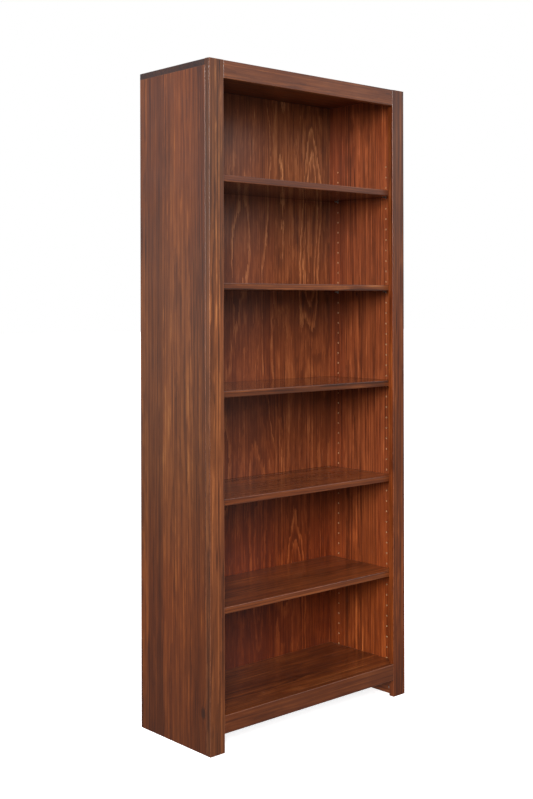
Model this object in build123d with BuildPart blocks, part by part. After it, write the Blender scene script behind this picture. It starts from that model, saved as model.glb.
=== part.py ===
from build123d import *
import os

# A tall open bookcase: a solid-wood case with a face frame, a plywood back and five shelves on pegs.
# Millimetres, +Z up. The front faces -Y and +X is to the right of someone who stands before it.
# The origin is on the floor, under the middle of the case.

# Driving dimensions of the case
HEIGHT = 1829.0
WIDTH = 762.0
DEPTH = 305.0
STOCK = 17.5  # thickness of every solid board
STILE_WIDTH = 50.0  # across the front
RAIL_WIDTH = 48.0  # up and down
TOE_HEIGHT = 50.0  # open gap under the bottom rail
BACK_THICKNESS = 6.0  # plywood
RABBET = 9.0  # how far the back panel reaches into the sides and the top
BACK_SLACK = 0.5  # gap between the back panel's edge and its rabbet
EDGE_ROUND = 1.5  # eased edge of a fixed board
SHELF_ROUND = 2.0  # eased front edge of a loose shelf

# Peg holes, drilled in two columns in each side
PEG_PITCH = 32.0
PEG_FIRST = 100.0  # height of the lowest row
PEG_ROWS = 48
PEG_FRONT = 57.0  # front column, from the front of the case
PEG_REAR = 263.0  # rear column, from the front of the case
PEG_HOLE_RADIUS = 2.5
PEG_HOLE_DEPTH = 10.0

# Loose shelves: the row of pegs under each one, lowest first
SHELF_ROWS = [8, 17, 26, 35, 44]
SHELF_SIDE_GAP = 1.5
SHELF_FACE_GAP = 1.0  # to the stiles in front and to the back panel
SHELF_RISE = 3.0  # underside of a shelf, above the middle of its pegs

# Shelf peg: a steel pin with a flat spoon under the shelf
PIN_RADIUS = 2.45
PIN_LENGTH = 9.5
PIN_CHAMFER = 0.4
COLLAR_RADIUS = 2.8
COLLAR_LENGTH = 1.0
SPOON_TOP = 2.9
SPOON_THICKNESS = 1.6
SPOON_WIDTH = 9.0
SPOON_LENGTH = 11.0
SPOON_CORNER = 2.5
SPOON_HOLE_RADIUS = 1.6
SPOON_HOLE_SHIFT = 1.0  # from the spoon's middle, away from the side

# Dowels
DOWEL_RADIUS = 4.0
FIT_SLACK = 0.05  # around a dowel or a screw's head, in its hole
DOWEL_CHAMFER = 0.8
FRAME_DOWEL_LENGTH = 40.0
FRAME_DOWEL_SPACING = 24.0
TOP_DOWEL_LENGTH = 32.0
TOP_DOWEL_IN_TOP = 11.0
TOP_DOWEL_FROM_FRONT = (60.0, 160.0, 260.0)
GLUE_GAP = 1.0  # spare depth at the end of each dowel hole

# Countersunk screws through the cleats
SCREW_LENGTH = 30.0
SCREW_RADIUS = 1.95
SCREW_POINT = 5.0
SCREW_HEAD_RADIUS = 4.0
SCREW_SLOT_DEPTH = 1.4
SCREW_SLOT_WIDTH = 1.0
SCREW_SLOT_LENGTH = 4.4
SCREW_PLACES = ((31.0, 19.0), (155.0, 55.0), (270.0, 30.0))  # from the front, and height
PILOT_RADIUS = 2.0
COUNTERSINK_ANGLE = 90.0

# Wire nails through the back panel
NAIL_RADIUS = 0.75
NAIL_HEAD_RADIUS = 1.9
NAIL_HEAD_THICKNESS = 0.8
NAIL_LENGTH = 22.0
NAIL_POINT = 2.5
NAIL_HOLE_RADIUS = 0.8  # in the boards behind the panel
NAIL_INSET = 4.5  # from the panel's edge
NAILS_UP = 12
NAILS_ACROSS = 5

SAME_PLACE = 0.01  # how near an edge's middle lies to the place it is looked for

# Planes and heights that follow from them
FRONT_Y = -DEPTH / 2
PANEL_FRONT_Y = FRONT_Y + STOCK
BACK_Y = DEPTH / 2
BACK_PANEL_Y = BACK_Y - BACK_THICKNESS
INNER_X = WIDTH / 2 - STOCK  # inner face of a side
OPENING_X = WIDTH / 2 - STILE_WIDTH  # inner edge of a stile
SIDE_HEIGHT = HEIGHT - STOCK
BOTTOM_TOP_Z = TOE_HEIGHT + RAIL_WIDTH  # top of the bottom shelf, level with its rail
CLEAT_HEIGHT = BOTTOM_TOP_Z - STOCK
BACK_HALF_WIDTH = INNER_X + RABBET - BACK_SLACK
BACK_TOP_Z = SIDE_HEIGHT + RABBET - BACK_SLACK
RAIL_HEIGHTS = (HEIGHT - RAIL_WIDTH / 2, TOE_HEIGHT + RAIL_WIDTH / 2)
PEG_COLUMNS = (FRONT_Y + PEG_FRONT, FRONT_Y + PEG_REAR)
SIDES = {"left": -1, "right": 1}
NAIL_HEIGHTS = [
    CLEAT_HEIGHT + NAIL_INSET + i * (BACK_TOP_Z - CLEAT_HEIGHT - 2 * NAIL_INSET) / (NAILS_UP - 1)
    for i in range(NAILS_UP)
]
NAIL_COLUMN_X = BACK_HALF_WIDTH - NAIL_INSET


def nail_places():
    """A location on the back of the case for each nail, looking out of the back."""
    columns = [(x, z) for z in NAIL_HEIGHTS for x in (-NAIL_COLUMN_X, NAIL_COLUMN_X)]
    step = 2 * NAIL_COLUMN_X / (NAILS_ACROSS + 1)
    rows = [
        (-NAIL_COLUMN_X + step * (i + 1), z)
        for z in (CLEAT_HEIGHT + STOCK / 2, SIDE_HEIGHT + NAIL_INSET)
        for i in range(NAILS_ACROSS)
    ]
    out_of_back = Plane(origin=(0, BACK_Y, 0), x_dir=(-1, 0, 0), z_dir=(0, 1, 0))
    return [out_of_back.location * Location((-x, z, 0)) for x, z in columns + rows]


def drill_for_nails():
    """Cut the nails' holes in the board that is being built."""
    with Locations(*nail_places()):
        Hole(NAIL_HOLE_RADIUS, NAIL_LENGTH + GLUE_GAP)


def save(piece, name):
    """Label a finished piece and write it as parts/name.step."""
    piece.part.label = name
    export_step(piece.part, f"parts/{name}.step")


def wall_plane(side, x):
    """A plane on a vertical face at x that looks into the case, with its own y upwards."""
    return Plane(origin=(side * x, 0, 0), x_dir=(0, -side, 0), z_dir=(-side, 0, 0))


def on_wall(side, y, z):
    """The place of (y, z) of the case on that wall plane."""
    return (-side * y, z)


def at(items, axis, value):
    """The edges or faces whose middle lies at that value of the axis."""
    return items.filter_by_position(axis, value - SAME_PLACE, value + SAME_PLACE)


def make_side(name, side):
    """One side: a glued-up board with peg holes inside and a rabbet for the back."""
    with BuildPart() as panel:
        with BuildSketch(Plane.XY):
            with Locations((side * (INNER_X + STOCK / 2), (PANEL_FRONT_Y + BACK_Y) / 2)):
                Rectangle(STOCK, BACK_Y - PANEL_FRONT_Y)
        extrude(amount=SIDE_HEIGHT)
        uprights = at(panel.edges().filter_by(Axis.Z), Axis.Y, PANEL_FRONT_Y)
        fillet(at(uprights, Axis.X, side * WIDTH / 2), radius=EDGE_ROUND)
        with BuildSketch(Plane.XY):
            with Locations((side * (INNER_X + RABBET / 2), BACK_Y - BACK_THICKNESS / 2)):
                Rectangle(RABBET, BACK_THICKNESS)
        extrude(amount=SIDE_HEIGHT, mode=Mode.SUBTRACT)
        with BuildSketch(wall_plane(side, INNER_X)):
            with Locations(on_wall(side, sum(PEG_COLUMNS) / 2, PEG_FIRST + PEG_PITCH * (PEG_ROWS - 1) / 2)):
                with GridLocations(PEG_REAR - PEG_FRONT, PEG_PITCH, 2, PEG_ROWS):
                    Circle(PEG_HOLE_RADIUS)
        extrude(amount=-PEG_HOLE_DEPTH, mode=Mode.SUBTRACT)
        with BuildSketch(wall_plane(side, INNER_X)):
            with Locations(*[on_wall(side, FRONT_Y + y, z) for y, z in SCREW_PLACES]):
                Circle(PILOT_RADIUS)
        extrude(amount=-(SCREW_LENGTH - STOCK + GLUE_GAP), mode=Mode.SUBTRACT)
        with BuildSketch(Plane.XY.offset(SIDE_HEIGHT)):
            with Locations(*[(side * (INNER_X + STOCK / 2), FRONT_Y + y) for y in TOP_DOWEL_FROM_FRONT]):
                Circle(DOWEL_RADIUS)
        extrude(amount=-(TOP_DOWEL_LENGTH - TOP_DOWEL_IN_TOP + GLUE_GAP), mode=Mode.SUBTRACT)
        drill_for_nails()
    save(panel, name)


def make_top():
    """The top lies over both sides and shows its end grain there."""
    with BuildPart() as top_panel:
        with BuildSketch(Plane.XY.offset(SIDE_HEIGHT)):
            with Locations((0, (PANEL_FRONT_Y + BACK_Y) / 2)):
                Rectangle(WIDTH, BACK_Y - PANEL_FRONT_Y)
        extrude(amount=STOCK)
        rim = at(top_panel.edges(), Axis.Z, HEIGHT)
        fillet(rim.filter_by(Axis.Y) + rim.filter_by(Axis.X).sort_by(Axis.Y)[-1], radius=EDGE_ROUND)
        with BuildSketch(Plane.XY.offset(SIDE_HEIGHT)):
            with Locations((0, BACK_Y - BACK_THICKNESS / 2)):
                Rectangle(2 * (INNER_X + RABBET), BACK_THICKNESS)
        extrude(amount=RABBET, mode=Mode.SUBTRACT)
        with BuildSketch(Plane.XY.offset(SIDE_HEIGHT)):
            for side in SIDES.values():
                with Locations(*[(side * (INNER_X + STOCK / 2), FRONT_Y + y) for y in TOP_DOWEL_FROM_FRONT]):
                    Circle(DOWEL_RADIUS)
        extrude(amount=TOP_DOWEL_IN_TOP + GLUE_GAP, mode=Mode.SUBTRACT)
        drill_for_nails()
    save(top_panel, "top_panel")


def make_bottom_shelf():
    """The fixed bottom shelf stands on the cleats, behind the bottom rail."""
    with BuildPart() as bottom_shelf:
        with BuildSketch(Plane.XY.offset(CLEAT_HEIGHT)):
            with Locations((0, (PANEL_FRONT_Y + BACK_PANEL_Y) / 2)):
                Rectangle(2 * INNER_X, BACK_PANEL_Y - PANEL_FRONT_Y)
        extrude(amount=STOCK)
        drill_for_nails()
    save(bottom_shelf, "bottom_shelf")


def make_back():
    """The plywood back, with a shallow seat for each nail head."""
    with BuildPart() as back_panel:
        with BuildSketch(Plane.XY.offset(CLEAT_HEIGHT)):
            with Locations((0, BACK_PANEL_Y + BACK_THICKNESS / 2)):
                Rectangle(2 * BACK_HALF_WIDTH, BACK_THICKNESS)
        extrude(amount=BACK_TOP_Z - CLEAT_HEIGHT)
        with Locations(*nail_places()):
            CounterBoreHole(NAIL_RADIUS, NAIL_HEAD_RADIUS, NAIL_HEAD_THICKNESS, BACK_THICKNESS)
    save(back_panel, "back_panel")


def make_nails():
    """Wire nails: a flat head, a round shank and a point."""
    with BuildPart() as back_nails:
        with BuildSketch(Plane.XZ) as profile:
            with BuildLine():
                Polyline(
                    (0, 0),
                    (NAIL_HEAD_RADIUS, 0),
                    (NAIL_HEAD_RADIUS, -NAIL_HEAD_THICKNESS),
                    (NAIL_RADIUS, -NAIL_HEAD_THICKNESS),
                    (NAIL_RADIUS, NAIL_POINT - NAIL_LENGTH),
                    (0, -NAIL_LENGTH),
                    close=True,
                )
            make_face()
        nail = revolve(profile.sketch, axis=Axis.Z, mode=Mode.PRIVATE)
        with Locations(*nail_places()):
            add(nail)
    save(back_nails, "back_nails")


def make_stile(name, side):
    """An upright of the face frame, with dowel holes where the rails meet it."""
    with BuildPart() as stile:
        with BuildSketch(Plane.XY):
            with Locations((side * (OPENING_X + STILE_WIDTH / 2), FRONT_Y + STOCK / 2)):
                Rectangle(STILE_WIDTH, STOCK)
        extrude(amount=HEIGHT)
        uprights = stile.edges().filter_by(Axis.Z)
        outer = at(uprights, Axis.X, side * WIDTH / 2)
        fillet(at(uprights, Axis.Y, FRONT_Y) + at(outer, Axis.Y, PANEL_FRONT_Y), radius=EDGE_ROUND)
        with BuildSketch(wall_plane(side, OPENING_X)):
            with Locations(*frame_dowel_places(side)):
                Circle(DOWEL_RADIUS)
        extrude(amount=-(FRAME_DOWEL_LENGTH / 2 + GLUE_GAP), mode=Mode.SUBTRACT)
    save(stile, name)


def frame_dowel_places(side):
    """Both dowels of both rails, on the plane of the stile's inner edge."""
    return [
        on_wall(side, FRONT_Y + STOCK / 2, z + up * FRAME_DOWEL_SPACING / 2)
        for z in RAIL_HEIGHTS
        for up in (-1, 1)
    ]


def make_rail(name, middle_z):
    """A cross-piece of the face frame, dowelled between the stiles."""
    with BuildPart() as rail:
        with BuildSketch(Plane.YZ.offset(-OPENING_X)):
            with Locations((FRONT_Y + STOCK / 2, middle_z)):
                Rectangle(STOCK, RAIL_WIDTH)
        extrude(amount=2 * OPENING_X)
        fillet(at(rail.edges(), Axis.Y, FRONT_Y), radius=EDGE_ROUND)
        for end in (-1, 1):
            with BuildSketch(Plane.YZ.offset(end * OPENING_X)):
                with Locations((FRONT_Y + STOCK / 2, middle_z)):
                    with GridLocations(0, FRAME_DOWEL_SPACING, 1, 2):
                        Circle(DOWEL_RADIUS)
            extrude(amount=-end * (FRAME_DOWEL_LENGTH / 2 + GLUE_GAP), mode=Mode.SUBTRACT)
    save(rail, name)


def make_frame_dowels():
    """Two dowels at each corner of the face frame."""
    with BuildPart() as frame_dowels:
        for side in SIDES.values():
            with BuildSketch(wall_plane(side, OPENING_X - FRAME_DOWEL_LENGTH / 2)):
                with Locations(*frame_dowel_places(side)):
                    Circle(DOWEL_RADIUS - FIT_SLACK)
            extrude(amount=-FRAME_DOWEL_LENGTH)
        chamfer(frame_dowels.edges().filter_by(GeomType.CIRCLE), length=DOWEL_CHAMFER)
    save(frame_dowels, "frame_dowels")


def make_top_dowels():
    """Three dowels between the top and each side."""
    with BuildPart() as top_dowels:
        with BuildSketch(Plane.XY.offset(SIDE_HEIGHT + TOP_DOWEL_IN_TOP)):
            for side in SIDES.values():
                with Locations(*[(side * (INNER_X + STOCK / 2), FRONT_Y + y) for y in TOP_DOWEL_FROM_FRONT]):
                    Circle(DOWEL_RADIUS - FIT_SLACK)
        extrude(amount=-TOP_DOWEL_LENGTH)
        chamfer(top_dowels.edges().filter_by(GeomType.CIRCLE), length=DOWEL_CHAMFER)
    save(top_dowels, "top_dowels")


def screw_places(side):
    """A location on a cleat's inner face for each of its screws, looking into the case."""
    plane = wall_plane(side, INNER_X - STOCK)
    return [plane.location * Location((*on_wall(side, FRONT_Y + y, z), 0)) for y, z in SCREW_PLACES]


def make_cleat(name, side):
    """A board on edge that doubles the side at the floor and carries the bottom shelf."""
    with BuildPart() as cleat:
        with BuildSketch(Plane.XY):
            with Locations((side * (INNER_X - STOCK / 2), (PANEL_FRONT_Y + BACK_PANEL_Y) / 2)):
                Rectangle(STOCK, BACK_PANEL_Y - PANEL_FRONT_Y)
        extrude(amount=CLEAT_HEIGHT)
        with Locations(*screw_places(side)):
            CounterSinkHole(PILOT_RADIUS, SCREW_HEAD_RADIUS + FIT_SLACK, counter_sink_angle=COUNTERSINK_ANGLE)
    save(cleat, name)


def make_screws():
    """Countersunk cross-head screws that hold the cleats to the sides."""
    with BuildPart() as cleat_screws:
        with BuildSketch(Plane.XZ) as profile:
            with BuildLine():
                Polyline(
                    (0, 0),
                    (SCREW_HEAD_RADIUS, 0),
                    (SCREW_RADIUS, SCREW_RADIUS - SCREW_HEAD_RADIUS),
                    (SCREW_RADIUS, SCREW_POINT - SCREW_LENGTH),
                    (0, -SCREW_LENGTH),
                    close=True,
                )
            make_face()
        screw = revolve(profile.sketch, axis=Axis.Z, mode=Mode.PRIVATE)
        with Locations(*[place for side in SIDES.values() for place in screw_places(side)]):
            add(screw)
            for turn in (0, 90):
                Box(
                    SCREW_SLOT_LENGTH,
                    SCREW_SLOT_WIDTH,
                    2 * SCREW_SLOT_DEPTH,
                    rotation=(0, 0, turn),
                    mode=Mode.SUBTRACT,
                )
    save(cleat_screws, "cleat_screws")


def make_shelf(name, row):
    """A loose shelf on the pegs of that row, with eased front edges."""
    underside = PEG_FIRST + PEG_PITCH * row + SHELF_RISE
    front = PANEL_FRONT_Y + SHELF_FACE_GAP
    rear = BACK_PANEL_Y - SHELF_FACE_GAP
    with BuildPart() as shelf:
        with BuildSketch(Plane.XY.offset(underside)):
            with Locations((0, (front + rear) / 2)):
                Rectangle(2 * (INNER_X - SHELF_SIDE_GAP), rear - front)
        extrude(amount=STOCK)
        fillet(at(shelf.edges().filter_by(Axis.X), Axis.Y, front), radius=SHELF_ROUND)
    save(shelf, name)


def make_pin(name, side, row, column_y):
    """A steel shelf peg in one hole, with its spoon pointing into the case."""
    wall = wall_plane(side, INNER_X)
    middle = on_wall(side, column_y, PEG_FIRST + PEG_PITCH * row)
    with BuildPart() as pin:
        with BuildSketch(wall):
            with Locations(middle):
                Circle(PIN_RADIUS)
        extrude(amount=-PIN_LENGTH)
        inner_end = pin.edges().filter_by(GeomType.CIRCLE).sort_by(Axis.X)[-1 if side > 0 else 0]
        chamfer(inner_end, length=PIN_CHAMFER)
        with BuildSketch(wall):
            with Locations(middle):
                Circle(COLLAR_RADIUS)
        extrude(amount=COLLAR_LENGTH)
        spoon = Plane(
            origin=(side * (INNER_X - COLLAR_LENGTH), column_y, PEG_FIRST + PEG_PITCH * row + SPOON_TOP),
            x_dir=(-side, 0, 0),
            z_dir=(0, 0, 1),
        )
        with BuildSketch(spoon):
            with Locations((SPOON_LENGTH / 2, 0)):
                Rectangle(SPOON_LENGTH, SPOON_WIDTH)
            fillet(vertices(), radius=SPOON_CORNER)
            with Locations((SPOON_LENGTH / 2 + SPOON_HOLE_SHIFT, 0)):
                Circle(SPOON_HOLE_RADIUS, mode=Mode.SUBTRACT)
        extrude(amount=-SPOON_THICKNESS)
        with BuildSketch(spoon):
            with Locations((0, 0)):
                Rectangle(SPOON_CORNER * 2, COLLAR_RADIUS * 2, align=(Align.MIN, Align.CENTER))
        extrude(amount=-SPOON_THICKNESS)
    save(pin, name)


os.makedirs("parts", exist_ok=True)
for side_name, side_sign in SIDES.items():
    make_side(f"side_panel_{side_name}", side_sign)
    make_stile(f"stile_{side_name}", side_sign)
    make_cleat(f"base_cleat_{side_name}", side_sign)
make_top()
make_bottom_shelf()
make_back()
make_nails()
make_rail("top_rail", RAIL_HEIGHTS[0])
make_rail("bottom_rail", RAIL_HEIGHTS[1])
make_frame_dowels()
make_top_dowels()
make_screws()
for number, peg_row in enumerate(SHELF_ROWS, start=1):
    make_shelf(f"shelf_{number}", peg_row)
    for side_name, side_sign in SIDES.items():
        for column_name, y_place in zip(("front", "rear"), PEG_COLUMNS):
            make_pin(f"shelf_{number}_pin_{side_name}_{column_name}", side_sign, peg_row, y_place)
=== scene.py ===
"""Looks for the bookcase: stained and lacquered boards, plywood, steel pegs, floor, lights and camera."""

import math

import bmesh
import bpy
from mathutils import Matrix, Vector


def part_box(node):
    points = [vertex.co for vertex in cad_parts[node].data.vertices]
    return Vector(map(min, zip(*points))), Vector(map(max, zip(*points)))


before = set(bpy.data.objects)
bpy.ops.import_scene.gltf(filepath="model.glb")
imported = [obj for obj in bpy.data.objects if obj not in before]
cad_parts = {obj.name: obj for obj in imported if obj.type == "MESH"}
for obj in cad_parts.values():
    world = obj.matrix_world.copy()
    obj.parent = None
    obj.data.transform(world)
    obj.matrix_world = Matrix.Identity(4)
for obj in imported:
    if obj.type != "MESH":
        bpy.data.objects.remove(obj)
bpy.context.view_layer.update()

MM = 0.001
SHELVES = 5
SIDES = ("left", "right")

# Camera: level, with the lens shifted so that uprights stay parallel
CAMERA_PLACE = (-2.330, -2.5435, 1.182)
CAMERA_TURN = math.radians(-41.95)
CAMERA_ROLL = math.radians(0.13)
CAMERA_LENS = 53.2
CAMERA_SHIFT = -0.1185

# Light of the room, below and above eye level
ROOM_LOW = (0.20, 0.19, 0.185, 1.0)
ROOM_HIGH = (0.66, 0.72, 0.80, 1.0)

# Peg holes, placed from the pegs that stand in some of them: the pitch of the rows, how far a peg's top
# is above its axis, and how many empty rows there are below the lowest shelf and above the highest
PEG_PITCH = 32 * MM
PEG_HOLE_RADIUS = 2.5 * MM
SPOON_TOP = 2.9 * MM
ROWS_BELOW = 8
ROWS_ABOVE = 3

# Lacquer on the boards: its weight and roughness
BOARD_COAT = (0.30, 0.27)

# How squarely a face looks along an axis, from not at all to fully, and where an eased edge begins
SQUARE_ON = (0.6, 0.9)
EASED_BELOW = 0.985

# Heights over which one painted-light tint gives way to the next, and the painted shade that darkens the foot
# of the case
LOWER_CHANGE = (0.3, 0.8)
UPPER_CHANGE = (1.05, 1.6)
PAINTED_SHADE_TOP = 0.45
PAINTED_FOOT_SHADE = 0.80

# Knots in the side panels: along and across from the panel's middle, and the radius
SIDE_KNOTS = {"left": (-0.797, -0.132, 10 * MM), "right": (0.31, 0.02, 4 * MM)}

# Lights: name, place, width and height, power, tint
LIGHTS = (
    ("key", (-3.0, -3.2, 2.6), (1.2, 2.2), 170.0, (1.0, 0.93, 0.85)),
    ("window", (-2.8, -2.9, 1.9), (0.4, 2.6), 24.0, (0.78, 0.90, 1.0)),
    ("left_wall", (-3.6, 3.0, 1.35), (2.2, 2.0), 6.5, (0.95, 0.98, 1.0)),
    ("right_wall", (3.1, -3.2, 2.4), (2.0, 2.0), 8.0, (1.0, 0.97, 0.90)),
)
LIGHTS_AIM = (0.0, 0.0, 0.95)


def linear(red, green, blue):
    """A colour given as it looks on a screen, 0 to 255, as the linear value that a shader takes."""
    def channel(value):
        value /= 255
        return value / 12.92 if value <= 0.04045 else ((value + 0.055) / 1.055) ** 2.4
    return (channel(red), channel(green), channel(blue), 1.0)


# Walnut stain, from where it lies deepest to where it lies thinnest
STAIN = (
    (0.14, linear(38, 18, 9)),
    (0.34, linear(74, 36, 16)),
    (0.50, linear(109, 57, 27)),
    (0.66, linear(143, 81, 41)),
    (0.86, linear(188, 124, 72)),
)
RED_STAIN = linear(124, 58, 28)
KNOT = linear(58, 30, 18)
GLUE_LINE = linear(50, 25, 16)
END_GRAIN = linear(30, 16, 12)
RUBBED_EDGE = linear(160, 96, 60)
RAW_WOOD = linear(212, 168, 126)

# Painted light: multipliers on the stain near the floor, halfway up and near the top, standing in for how
# light and the lacquer's sheen fall up the case; a brighter inner tint of painted bounce light comes on top
# of it
STAIN_LIGHT_BY_HEIGHT = ((1.0, 0.92, 0.76, 1.0), (1.0, 0.96, 0.86, 1.0), (1.0, 1.0, 0.96, 1.0))
SIDE_LIGHT_BY_HEIGHT = ((1.02, 0.86, 0.54, 1.0), (1.07, 1.17, 1.08, 1.0), (1.03, 0.97, 0.68, 1.0))
SIDE_INNER_PAINTED_LIGHT = ((2.20, 2.02, 2.60, 1.0), (1.58, 1.27, 1.55, 1.0), (1.73, 1.61, 2.75, 1.0))
STILE_LIGHT_BY_HEIGHT = {
    "left": ((1.08, 1.10, 1.06, 1.0), (1.22, 1.36, 1.43, 1.0), (0.74, 0.86, 0.93, 1.0)),
    "right": ((1.24, 0.99, 0.72, 1.0), (1.02, 0.87, 0.69, 1.0), (0.77, 0.74, 0.74, 1.0)),
}
STILE_INNER_PAINTED_LIGHT = ((1.70, 1.67, 1.42, 1.0), (1.31, 1.12, 0.90, 1.0), (1.12, 0.86, 0.57, 1.0))
BACK_LIGHT_BY_HEIGHT = ((0.95, 0.56, 0.40, 1.0), (1.0, 0.85, 0.89, 1.0), (1.07, 1.12, 1.38, 1.0))


class Tree:
    """Adds nodes to a shader tree and wires them up as it goes."""

    def __init__(self, tree):
        self.tree = tree

    def add(self, kind, inputs=None, **settings):
        node = self.tree.nodes.new(kind)
        for name, value in settings.items():
            setattr(node, name, value)
        for name, value in (inputs or {}).items():
            self.wire(value, node.inputs[name])
        return node

    def wire(self, value, socket):
        if isinstance(value, bpy.types.NodeSocket):
            self.tree.links.new(value, socket)
        else:
            socket.default_value = value

    def math(self, operation, *values):
        return self.add("ShaderNodeMath", dict(enumerate(values)), operation=operation).outputs[0]

    def vector_math(self, operation, *values):
        return self.add("ShaderNodeVectorMath", dict(enumerate(values)), operation=operation).outputs[0]

    def length(self, first, second):
        """Length of the slant over two distances at right angles."""
        squares = [self.math("POWER", value, 2.0) for value in (first, second)]
        return self.math("SQRT", self.math("ADD", *squares))

    def remap(self, value, low, high, to_low=0.0, to_high=1.0, smooth=True):
        """Value scaled from low..high to to_low..to_high, and held there outside."""
        inputs = {"Value": value, "From Min": low, "From Max": high, "To Min": to_low, "To Max": to_high}
        kind = "SMOOTHSTEP" if smooth else "LINEAR"
        return self.add("ShaderNodeMapRange", inputs, interpolation_type=kind).outputs[0]

    def mix(self, factor, first, second, blend="MIX"):
        node = self.add("ShaderNodeMix", data_type="RGBA", blend_type=blend)
        for value, index in ((factor, 0), (first, 6), (second, 7)):
            self.wire(value, node.inputs[index])
        return node.outputs[2]

    def vector(self, x, y, z):
        return self.add("ShaderNodeCombineXYZ", {0: x, 1: y, 2: z}).outputs[0]

    def split(self, vector):
        return self.add("ShaderNodeSeparateXYZ", {0: vector}).outputs

    def stretch(self, vector, scale, shift=0.0):
        """Vector times scale, plus the same shift on each axis."""
        return self.vector_math("MULTIPLY_ADD", vector, scale, self.vector(shift, shift, shift))

    def ramp(self, value, stops):
        """A colour from value, through stops of (place, colour)."""
        node = self.add("ShaderNodeValToRGB", {0: value})
        marks = node.color_ramp.elements
        while len(marks) < len(stops):
            marks.new(0.5)
        for mark, (place, colour) in zip(marks, stops):
            mark.position = place
            mark.color = colour
        return node.outputs[0]

    def noise(self, vector, scale=1.0, detail=2.0, roughness=0.5):
        inputs = {"Vector": vector, "Scale": scale, "Detail": detail, "Roughness": roughness}
        return self.add("ShaderNodeTexNoise", inputs).outputs["Fac"]


def new_group(name, inputs, outputs):
    """An empty node group with these sockets: its tree, its inputs and its output node."""
    tree = bpy.data.node_groups.new(name, "ShaderNodeTree")
    for title, kind in inputs:
        tree.interface.new_socket(title, in_out="INPUT", socket_type=kind)
    for title, kind in outputs:
        tree.interface.new_socket(title, in_out="OUTPUT", socket_type=kind)
    build = Tree(tree)
    return build, build.add("NodeGroupInput").outputs, build.add("NodeGroupOutput")


def thin_lines(t, vector, patchy):
    """Thin wandering lines, where a noise crosses its middle, fading in and out with patchy."""
    noise = t.noise(vector, detail=2.0)
    line = t.remap(t.math("ABSOLUTE", t.math("SUBTRACT", noise, 0.5)), 0.008, 0.045, 1.0, 0.0)
    return t.math("MULTIPLY", line, t.remap(patchy, 0.38, 0.62))


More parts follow.
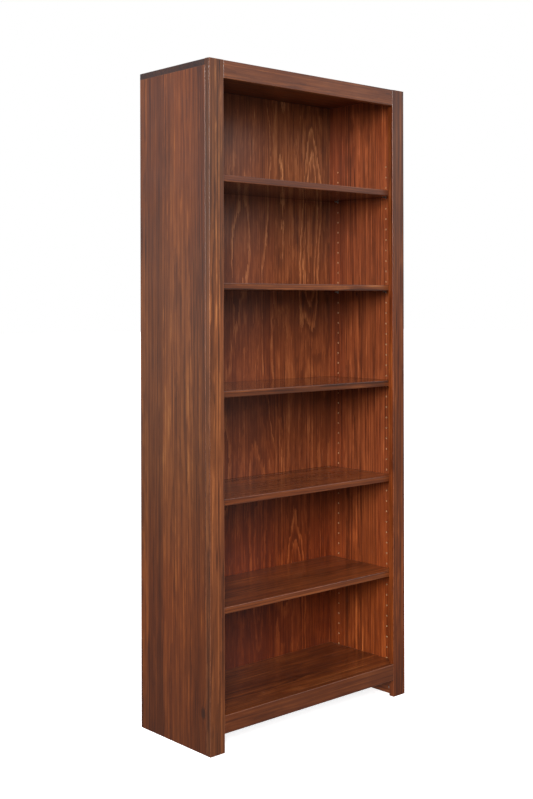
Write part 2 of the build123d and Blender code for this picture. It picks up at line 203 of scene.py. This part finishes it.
def make_figure_group():
    """The figure of sawn wood, cut from a log: staves, yearly rings, fibres and a knot.

    Grain holds metres along, across and into the board. Heart is how deep under the face the log's
    heart lies, Stave the width of a glued stave, Flame how often the rings sway in each direction and
    Wave by how much, and Knot a place along and across, with its radius. Crisp is where in a year its
    late wood starts, Jag how ragged the rings are and Streaks how strong the streaks between them.
    """
    value, vector = "NodeSocketFloat", "NodeSocketVector"
    inputs = [("Grain", vector), ("Seed", value), ("Stave", value), ("Heart", value), ("Year", value)]
    inputs += [("Wave", value), ("Flame", vector), ("Knot", vector), ("Crisp", value)]
    inputs += [("Jag", value), ("Streaks", value)]
    outputs = [("Tone", value), ("Ring", value), ("Fibre", value), ("Luck", value)]
    outputs += [("Hue", value), ("Joint", value), ("Knot", value)]
    t, given, out = new_group("wood_figure", inputs, outputs)
    along, across, deep = t.split(given["Grain"])

    # Glued staves, each with its own luck
    place = t.math("ADD", t.math("DIVIDE", across, given["Stave"]), given["Seed"])
    cells = {"W": place, "Scale": 1.0, "Randomness": 0.55}
    stave = t.add("ShaderNodeTexVoronoi", cells, voronoi_dimensions="1D")
    edge = t.add("ShaderNodeTexVoronoi", cells, voronoi_dimensions="1D", feature="DISTANCE_TO_EDGE")
    luck = t.add("ShaderNodeSeparateColor", {0: stave.outputs["Color"]}).outputs
    gap = t.math("MULTIPLY", edge.outputs["Distance"], given["Stave"])
    joint = t.remap(gap, 0.0, 0.9 * MM, 1.0, 0.0)
    shift = t.math("ADD", t.math("MULTIPLY", luck[0], 7.0), given["Seed"])

    # A knot pushes the rings aside
    knot = t.split(given["Knot"])
    off_along = t.math("MULTIPLY", t.math("SUBTRACT", along, knot[0]), 0.62)
    off_across = t.math("SUBTRACT", across, knot[1])
    reach = t.length(off_along, off_across)
    apart = t.math("DIVIDE", reach, t.math("MAXIMUM", knot[2], 0.1 * MM))
    push = t.math("MULTIPLY", t.math("EXPONENT", t.math("MULTIPLY", apart, -0.55)), knot[2])

    # Streaks, fibres and patches run with the grain: each is stretched by how often a metre it changes
    # along, across and into the board
    point = t.vector(along, across, deep)
    broad = t.noise(t.stretch(point, (0.8, 26.0, 26.0), shift), detail=2.0)
    streak = t.noise(t.stretch(point, (1.1, 200.0, 200.0), shift), detail=3.0, roughness=0.6)
    streak = t.remap(streak, 0.36, 0.64)
    mottle = t.noise(t.stretch(point, (10.0, 42.0, 42.0), shift), detail=3.0, roughness=0.55)
    fibre = t.noise(t.stretch(point, (14.0, 900.0, 900.0), shift), detail=3.0, roughness=0.6)
    cloud = t.noise(t.stretch(point, (2.6, 9.0, 9.0), shift), detail=3.0)
    pale = thin_lines(t, t.stretch(point, (0.6, 46.0, 46.0), shift), mottle)
    dark = thin_lines(t, t.stretch(point, (1.2, 64.0, 64.0), t.math("ADD", shift, 5.0)), cloud)

    # Yearly rings around the heart of the log
    sway = t.noise(t.stretch(point, given["Flame"], shift), detail=1.5)
    ripple = t.noise(t.stretch(point, (16.0, 36.0, 36.0), shift), detail=3.0)
    heart_across = t.math("ADD", across, t.math("MULTIPLY", t.math("SUBTRACT", luck[1], 0.5), 0.20))
    heart_deep = t.math("ADD", deep, t.math("MULTIPLY_ADD", luck[2], 0.06, given["Heart"]))
    radius = t.length(heart_across, heart_deep)
    radius = t.math("ADD", radius, t.math("MULTIPLY", along, 0.011))
    radius = t.math("ADD", radius, t.math("MULTIPLY", t.math("SUBTRACT", sway, 0.5), given["Wave"]))
    ripple = t.math("MULTIPLY", t.math("SUBTRACT", ripple, 0.5), t.math("MULTIPLY", given["Jag"], 8 * MM))
    radius = t.math("ADD", radius, ripple)
    radius = t.math("ADD", radius, t.math("MULTIPLY", push, 1.3))
    years = t.math("DIVIDE", radius, given["Year"])
    uneven = t.noise(t.vector(t.math("MULTIPLY", years, 0.31), shift, 0.0), detail=2.0)
    years = t.math("MULTIPLY_ADD", uneven, 3.0, years)
    jag = t.noise(t.stretch(point, (24.0, 330.0, 330.0), shift), detail=2.0)
    years = t.math("MULTIPLY_ADD", jag, given["Jag"], years)
    year = t.math("FRACT", years)
    ring = t.math("MULTIPLY", t.remap(year, given["Crisp"], 0.93), t.remap(year, 0.95, 1.0, 1.0, 0.0))
    strength = t.noise(t.vector(t.math("FLOOR", years), shift, 3.0), scale=7.3, detail=0.0)
    ring = t.math("MULTIPLY", ring, t.remap(strength, 0.3, 0.7, 0.25, 1.0))

    # Everything that makes the stain lighter or darker, in one number around a half
    streaks = given["Streaks"]
    fine = t.math("MULTIPLY", streaks, 0.30)
    tone = 0.5
    for part, weight in ((broad, 0.15), (streak, fine), (mottle, 0.20), (cloud, 0.20), (luck[0], 0.08)):
        tone = t.math("MULTIPLY_ADD", t.math("SUBTRACT", part, 0.5), weight, tone)
    tone = t.math("MULTIPLY_ADD", pale, t.math("MULTIPLY", streaks, 0.26), tone)
    tone = t.math("MULTIPLY_ADD", dark, t.math("MULTIPLY", streaks, -0.34), tone)
    hue = t.math("MULTIPLY_ADD", cloud, 0.6, t.math("MULTIPLY", luck[1], 0.4))
    core = t.remap(apart, 0.5, 1.3, 1.0, 0.0)
    results = {"Tone": tone, "Ring": ring, "Fibre": fibre, "Luck": luck[0], "Hue": hue}
    results.update({"Joint": joint, "Knot": core})
    for name, result in results.items():
        t.wire(result, out.inputs[name])
    return t.tree


def make_edge_group():
    """How near a point is to the edge of its board: the second smallest distance to the board's faces."""
    value, vector = "NodeSocketFloat", "NodeSocketVector"
    inputs = [("Point", vector), ("Low", vector), ("High", vector)]
    t, given, out = new_group("edge_distance", inputs, [("Distance", value)])
    to_low = t.vector_math("SUBTRACT", given["Point"], given["Low"])
    to_high = t.vector_math("SUBTRACT", given["High"], given["Point"])
    a, b, c = t.split(t.vector_math("MINIMUM", to_low, to_high))
    small = t.math("MINIMUM", a, b)
    large = t.math("MAXIMUM", a, b)
    t.wire(t.math("MAXIMUM", small, t.math("MINIMUM", large, c)), out.inputs["Distance"])
    return t.tree


def peg_hole_mask(t, point, columns, first, last, floor_x):
    """One inside a peg hole and on its ragged rim, and nought elsewhere, from the first row to the last."""
    x, y, z = t.split(point)
    sides = [t.math("ABSOLUTE", t.math("SUBTRACT", y, column)) for column in columns]
    off_y = t.math("MINIMUM", *sides)
    off_z = t.math("SUBTRACT", z, first)
    turns = t.math("ROUND", t.math("DIVIDE", off_z, PEG_PITCH))
    turns = t.math("MINIMUM", t.math("MAXIMUM", turns, 0.0), round((last - first) / PEG_PITCH))
    off_z = t.math("SUBTRACT", off_z, t.math("MULTIPLY", turns, PEG_PITCH))
    reach = t.length(off_y, off_z)
    ragged = t.noise(t.stretch(point, (900.0, 900.0, 500.0)), detail=1.0)
    rim = t.math("MULTIPLY_ADD", ragged, 0.7 * MM, PEG_HOLE_RADIUS - 0.15 * MM)
    inside = t.math("LESS_THAN", t.math("ABSOLUTE", x), floor_x)
    return t.math("MULTIPLY", t.math("LESS_THAN", reach, rim), inside)


FIGURE = make_figure_group()
EDGE = make_edge_group()

# Which way the grain runs, goes across and goes deep, as indices of x, y and z
UPRIGHT_SIDE = (2, 1, 0)
UPRIGHT_FRONT = (2, 0, 1)
LEVEL_FRONT = (0, 2, 1)
LEVEL_FLAT = (0, 1, 2)


def new_material(name):
    """An empty node material: its tree and its surface socket."""
    material = bpy.data.materials.new(name)
    material.use_nodes = True
    material.node_tree.nodes.clear()
    build = Tree(material.node_tree)
    surface = build.add("ShaderNodeOutputMaterial").inputs["Surface"]
    return material, build, surface


def painted_light_by_height(t, z, low, middle, high):
    """Painted light: a colour that changes up the case, near the floor, halfway up and near the top."""
    lower = t.mix(t.remap(z, *LOWER_CHANGE), low, middle)
    return t.mix(t.remap(z, *UPPER_CHANGE), lower, high)


def bumpy_shader(t, colour, rough, height, strength, distance):
    """A shader with a bump, its colour and roughness worked out point by point."""
    bump = t.add("ShaderNodeBump", {"Height": height, "Strength": strength, "Distance": distance})
    inputs = {"Base Color": colour, "Roughness": rough, "Normal": bump.outputs[0]}
    return t.add("ShaderNodeBsdfPrincipled", inputs)


def stained_wood(node, grain, seed, stave=10.0, heart=0.05, year=6 * MM, wave=0.014, tone=1.0,
                 flame=(0.8, 3.5, 3.5), knot=(0.0, 50.0, 0.0), peg_holes=None, ring=-0.17, crisp=0.45,
                 jag=0.5, streaks=0.55, light_tints=STAIN_LIGHT_BY_HEIGHT, inner_light=None, flank_light=1.0, coat=BOARD_COAT):
    """Walnut-stained wood under satin lacquer, cut to the board's own box.

    Grain says which way the wood runs, and the figure group explains what it takes. Tone makes the
    whole board lighter or darker, Ring its yearly rings, and the flank light makes the faces to its left
    and right lighter or darker, painted light. The light tints are painted light that changes up the case.
    Peg_holes is what the mask of the holes needs. The inner light is how far from the case's middle its
    inside reaches, with its painted bounce light there, and Coat the lacquer's weight and roughness.
    """
    low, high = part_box(node)
    material, t, surface = new_material(f"stained_{node}")
    coordinates = t.add("ShaderNodeTexCoord").outputs
    point = coordinates["Object"]
    axes = t.split(point)
    run = [t.math("SUBTRACT", axes[i], (low[i] + high[i]) / 2) for i in grain]
    inputs = {"Grain": t.vector(*run), "Seed": seed, "Stave": stave, "Heart": heart, "Year": year}
    inputs.update({"Wave": wave, "Flame": flame, "Knot": knot, "Crisp": crisp})
    inputs.update({"Jag": jag, "Streaks": streaks})
    figure = t.add("ShaderNodeGroup", node_tree=FIGURE)
    for name, value in inputs.items():
        t.wire(value, figure.inputs[name])
    wood = figure.outputs

    # Stain: dark in the streaks that drink it, orange brown between them, with rings calm on the edges
    facing = [t.math("ABSOLUTE", part) for part in t.split(coordinates["Normal"])]
    ring = t.remap(facing[grain[1]], *SQUARE_ON, ring, 0.35 * ring)
    depth = t.math("MULTIPLY_ADD", wood["Ring"], ring, wood["Tone"])
    depth = t.math("MULTIPLY_ADD", t.math("SUBTRACT", wood["Fibre"], 0.5), 0.35, depth)
    colour = t.ramp(depth, STAIN)
    colour = t.mix(t.remap(wood["Hue"], 0.3, 0.7, 0.0, 0.26), colour, RED_STAIN)
    # Painted light: the colour is multiplied by a tint that changes with height
    colour = t.mix(1.0, colour, painted_light_by_height(t, axes[2], *light_tints), "MULTIPLY")
    colour = t.mix(t.math("MULTIPLY", wood["Knot"], 0.75), colour, KNOT)
    colour = t.mix(t.math("MULTIPLY", wood["Joint"], 0.40), colour, GLUE_LINE)

    # End grain soaks up more stain, and a rubbed edge holds less
    along = facing[grain[0]]
    colour = t.mix(t.remap(along, *SQUARE_ON, 0.0, 0.78), colour, END_GRAIN)
    edge = t.add("ShaderNodeGroup", node_tree=EDGE)
    for name, value in {"Point": point, "Low": low, "High": high}.items():
        t.wire(value, edge.inputs[name])
    rub = t.noise(t.stretch(point, (60.0, 60.0, 60.0), seed), detail=3.0)
    reach = t.math("MULTIPLY_ADD", rub, 3.6 * MM, -1.1 * MM)
    worn = t.math("LESS_THAN", edge.outputs["Distance"], reach)
    worn = t.math("MULTIPLY", worn, t.remap(along, *SQUARE_ON, 0.35, 0.1))
    colour = t.mix(worn, colour, RUBBED_EDGE)

    # Lighter and darker staves at random, faces lighter or darker by which way they face (painted light), and
    # painted shade darkening the foot
    bright = t.remap(wood["Luck"], 0.0, 1.0, 0.88 * tone, 1.12 * tone, smooth=False)
    bright = t.math("MULTIPLY", bright, t.remap(axes[2], 0.0, PAINTED_SHADE_TOP, PAINTED_FOOT_SHADE, 1.0))
    bright = t.math("MULTIPLY", bright, t.remap(facing[0], *SQUARE_ON, 1.0, flank_light))
    colour = t.add("ShaderNodeHueSaturation", {"Color": colour, "Value": bright}).outputs[0]
    # Painted bounce light: faces inside the case are brightened by a tint that changes with height
    if inner_light:
        inside = t.math("LESS_THAN", t.math("ABSOLUTE", axes[0]), inner_light[0])
        tint = painted_light_by_height(t, axes[2], *inner_light[1])
        colour = t.mix(inside, colour, t.mix(1.0, colour, tint, "MULTIPLY"))
    if peg_holes:
        colour = t.mix(peg_hole_mask(t, point, *peg_holes), colour, RAW_WOOD)

    # Satin lacquer, with more gloss on the eased edges and on a shelf's top
    smudge = t.noise(t.stretch(point, (7.0, 7.0, 7.0), seed), detail=3.0)
    rough = t.remap(smudge, 0.30, 0.72, 0.34, 0.46)
    rough = t.math("MULTIPLY_ADD", wood["Fibre"], 0.10, rough)
    height = t.math("MULTIPLY_ADD", wood["Ring"], 0.5, wood["Fibre"])
    height = t.math("MULTIPLY_ADD", wood["Joint"], -1.5, height)
    shader = bumpy_shader(t, colour, rough, height, 0.25, 0.12 * MM)
    shader.inputs["Specular IOR Level"].default_value = 0.36
    squarest = t.math("MAXIMUM", t.math("MAXIMUM", facing[0], facing[1]), facing[2])
    eased = t.math("LESS_THAN", squarest, EASED_BELOW)
    level = t.remap(facing[2], *SQUARE_ON, BOARD_COAT[0], coat[0])
    t.wire(t.math("MAXIMUM", level, eased), shader.inputs["Coat Weight"])
    shader.inputs["Coat Roughness"].default_value = coat[1]
    t.wire(shader.outputs[0], surface)
    return material


def bare_wood(node, seed):
    """Turned dowel: pale beech with short flecks."""
    material, t, surface = new_material(f"bare_{node}")
    point = t.add("ShaderNodeTexCoord").outputs["Object"]
    fleck = t.noise(t.stretch(point, (300.0, 300.0, 300.0), seed), detail=4.0, roughness=0.7)
    colour = t.mix(t.remap(fleck, 0.35, 0.65), linear(196, 158, 112), linear(226, 194, 150))
    rough = t.remap(fleck, 0.3, 0.7, 0.55, 0.7)
    t.wire(bumpy_shader(t, colour, rough, fleck, 0.3, 0.1 * MM).outputs[0], surface)
    return material


def plated_steel(name, light, dark, roughness):
    """Plated or drawn steel with fine scratches and dull patches."""
    material, t, surface = new_material(name)
    point = t.add("ShaderNodeTexCoord").outputs["Object"]
    patch = t.noise(t.stretch(point, (240.0, 240.0, 240.0)), detail=4.0, roughness=0.6)
    scratch = t.noise(t.stretch(point, (300.0, 300.0, 4000.0)), detail=2.0)
    colour = t.mix(t.remap(patch, 0.3, 0.7), dark, light)
    rough = t.math("MULTIPLY_ADD", t.remap(scratch, 0.35, 0.65), 0.12, roughness)
    rough = t.math("ADD", rough, t.math("MULTIPLY", patch, 0.12))
    shader = bumpy_shader(t, colour, rough, scratch, 0.2, 0.03 * MM)
    shader.inputs["Metallic"].default_value = 1.0
    t.wire(shader.outputs[0], surface)
    return material


def wear(node, material):
    """Give a CAD node its material."""
    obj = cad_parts[node]
    for slot in obj.material_slots:
        slot.material = material


def dress_boards():
    """Every board in its own cut of the stained wood."""
    pegs = [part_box(f"shelf_1_pin_right_{column}") for column in ("front", "rear")]
    columns = [(low[1] + high[1]) / 2 for low, high in pegs]
    first, last = (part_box(f"shelf_{number}_pin_right_front")[1][2] - SPOON_TOP for number in (1, SHELVES))
    holes = (columns, first - ROWS_BELOW * PEG_PITCH, last + ROWS_ABOVE * PEG_PITCH, pegs[0][1][0] + MM)
    for index, side in enumerate(SIDES):
        # Painted light: the sides are tinted by height, brightest halfway up, and their inside faces get
        # painted bounce light
        panel = f"side_panel_{side}"
        wear(panel, stained_wood(panel, UPRIGHT_SIDE, 3.1 + 4.7 * index, stave=0.070, heart=0.10,
                                 knot=SIDE_KNOTS[side], peg_holes=holes, ring=-0.12, streaks=0.48,
                                 light_tints=SIDE_LIGHT_BY_HEIGHT, inner_light=(holes[-1], SIDE_INNER_PAINTED_LIGHT)))
        # Painted light: the left stile is lighter and the right one darker, the left one's sides are darker,
        # and both are tinted by height, with painted bounce light on their inner edges
        stile = f"stile_{side}"
        edge_x = min(abs(corner[0]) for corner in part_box(stile)) + MM
        wear(stile, stained_wood(stile, UPRIGHT_FRONT, 5.3 + 2.9 * index, heart=0.09, wave=0.010,
                                 tone=1.20 - 0.35 * index, ring=-0.12,
                                 light_tints=STILE_LIGHT_BY_HEIGHT[side], inner_light=(edge_x, STILE_INNER_PAINTED_LIGHT),
                                 flank_light=0.68 if side == "left" else 1.0))
        # Painted light: the cleats are made much lighter, lifting the shade they stand in under the bottom
        # rail
        cleat = f"base_cleat_{side}"
        wear(cleat, stained_wood(cleat, (1, 2, 0), 1.7 + index, heart=0.06, tone=1.7))
    wear("top_panel", stained_wood("top_panel", LEVEL_FLAT, 2.2, stave=0.080, heart=0.05))
    wear("top_rail", stained_wood("top_rail", LEVEL_FRONT, 6.4, heart=0.05, ring=-0.10,
                                  streaks=0.40, tone=0.77))
    wear("bottom_rail", stained_wood("bottom_rail", LEVEL_FRONT, 8.9, heart=0.05, ring=-0.08,
                                     streaks=0.30, tone=0.95))
    shelf_looks = {"heart": 0.05, "ring": -0.40, "wave": 0.05, "flame": (1.5, 6.0, 6.0), "coat": (0.9, 0.12)}
    wear("bottom_shelf", stained_wood("bottom_shelf", LEVEL_FLAT, 4.4, stave=0.075, tone=1.16, **shelf_looks))
    # Painted light: the back is tinted by height, darker and redder low down and paler and bluer at the top
    wear("back_panel", stained_wood("back_panel", UPRIGHT_FRONT, 9.6, stave=0.52, heart=2.0,
                                    year=13 * MM, wave=0.16, flame=(1.3, 8.5, 8.5), ring=0.31, crisp=0.34,
                                    jag=1.2, streaks=0.42, tone=1.02,
                                    light_tints=BACK_LIGHT_BY_HEIGHT))
    for number in range(1, SHELVES + 1):
        shelf = f"shelf_{number}"
        wear(shelf, stained_wood(shelf, LEVEL_FLAT, 11.0 + 3.7 * number, stave=0.072, tone=1.02,
                                 **shelf_looks))


def dress_hardware():
    """Dowels, screws, nails and pegs."""
    for index, name in enumerate(("frame_dowels", "top_dowels")):
        wear(name, bare_wood(name, 1.0 + index))
    zinc = plated_steel("zinc_plated_steel", linear(214, 214, 208), linear(158, 160, 158), 0.22)
    wire = plated_steel("bright_steel", linear(176, 176, 176), linear(110, 108, 104), 0.34)
    wear("cleat_screws", zinc)
    wear("back_nails", wire)
    for number in range(1, SHELVES + 1):
        for side in SIDES:
            for column in ("front", "rear"):
                wear(f"shelf_{number}_pin_{side}_{column}", zinc)


def add_floor():
    """A pale floor, wide enough to leave the view."""
    reach = 40.0
    mesh = bpy.data.meshes.new("floor")
    grid = bmesh.new()
    corners = [grid.verts.new((x * reach, y * reach, 0.0)) for x, y in ((-1, -1), (1, -1), (1, 1), (-1, 1))]
    grid.faces.new(corners)
    grid.to_mesh(mesh)
    grid.free()
    floor = bpy.data.objects.new("floor", mesh)
    bpy.context.scene.collection.objects.link(floor)
    material, t, surface = new_material("pale_floor")
    point = t.add("ShaderNodeTexCoord").outputs["Object"]
    cloud = t.noise(t.stretch(point, (0.7, 0.7, 0.7)), detail=2.0)
    colour = t.mix(t.remap(cloud, 0.3, 0.7), linear(248, 248, 248), linear(252, 252, 252))
    shader = t.add("ShaderNodeBsdfPrincipled", {"Base Color": colour})
    shader.inputs["Roughness"].default_value = 0.8
    shader.inputs["Specular IOR Level"].default_value = 0.1
    shader.inputs["Emission Color"].default_value = (1.0, 1.0, 1.0, 1.0)
    shader.inputs["Emission Strength"].default_value = 0.80
    t.wire(shader.outputs[0], surface)
    mesh.materials.append(material)
    floor.visible_diffuse = False
    floor.visible_glossy = False


def add_light(name, place, size, power, tint):
    """A soft rectangular light that points at the middle of the case."""
    data = bpy.data.lights.new(name, "AREA")
    data.shape = "RECTANGLE"
    data.size, data.size_y = size
    data.energy = power
    data.color = tint
    light = bpy.data.objects.new(name, data)
    light.location = place
    light.rotation_euler = (Vector(LIGHTS_AIM) - Vector(place)).to_track_quat("-Z", "Y").to_euler()
    bpy.context.scene.collection.objects.link(light)


def add_studio():
    """The pale room and its lights, with a plain white backdrop where the camera sees it."""
    scene = bpy.context.scene
    world = bpy.data.worlds.new("studio")
    world.use_nodes = True
    t = Tree(world.node_tree)
    height = t.split(t.add("ShaderNodeTexCoord").outputs["Generated"])[2]
    room = t.mix(t.remap(height, -0.04, 0.24), ROOM_LOW, ROOM_HIGH)
    seen = t.add("ShaderNodeLightPath").outputs["Is Camera Ray"]
    t.wire(t.mix(seen, room, (1.0, 1.0, 1.0, 1.0)), world.node_tree.nodes["Background"].inputs["Color"])
    scene.world = world
    scene.view_settings.view_transform = "Standard"
    scene.view_settings.look = "None"
    for light in LIGHTS:
        add_light(*light)


def add_camera():
    """The camera at the photograph's viewing angle."""
    data = bpy.data.cameras.new("camera")
    data.lens = CAMERA_LENS
    data.shift_y = CAMERA_SHIFT
    camera = bpy.data.objects.new("camera", data)
    camera.location = CAMERA_PLACE
    camera.rotation_euler = (math.radians(90), CAMERA_ROLL, CAMERA_TURN)
    bpy.context.scene.collection.objects.link(camera)
    bpy.context.scene.camera = camera


dress_boards()
dress_hardware()
add_floor()
add_studio()
add_camera()
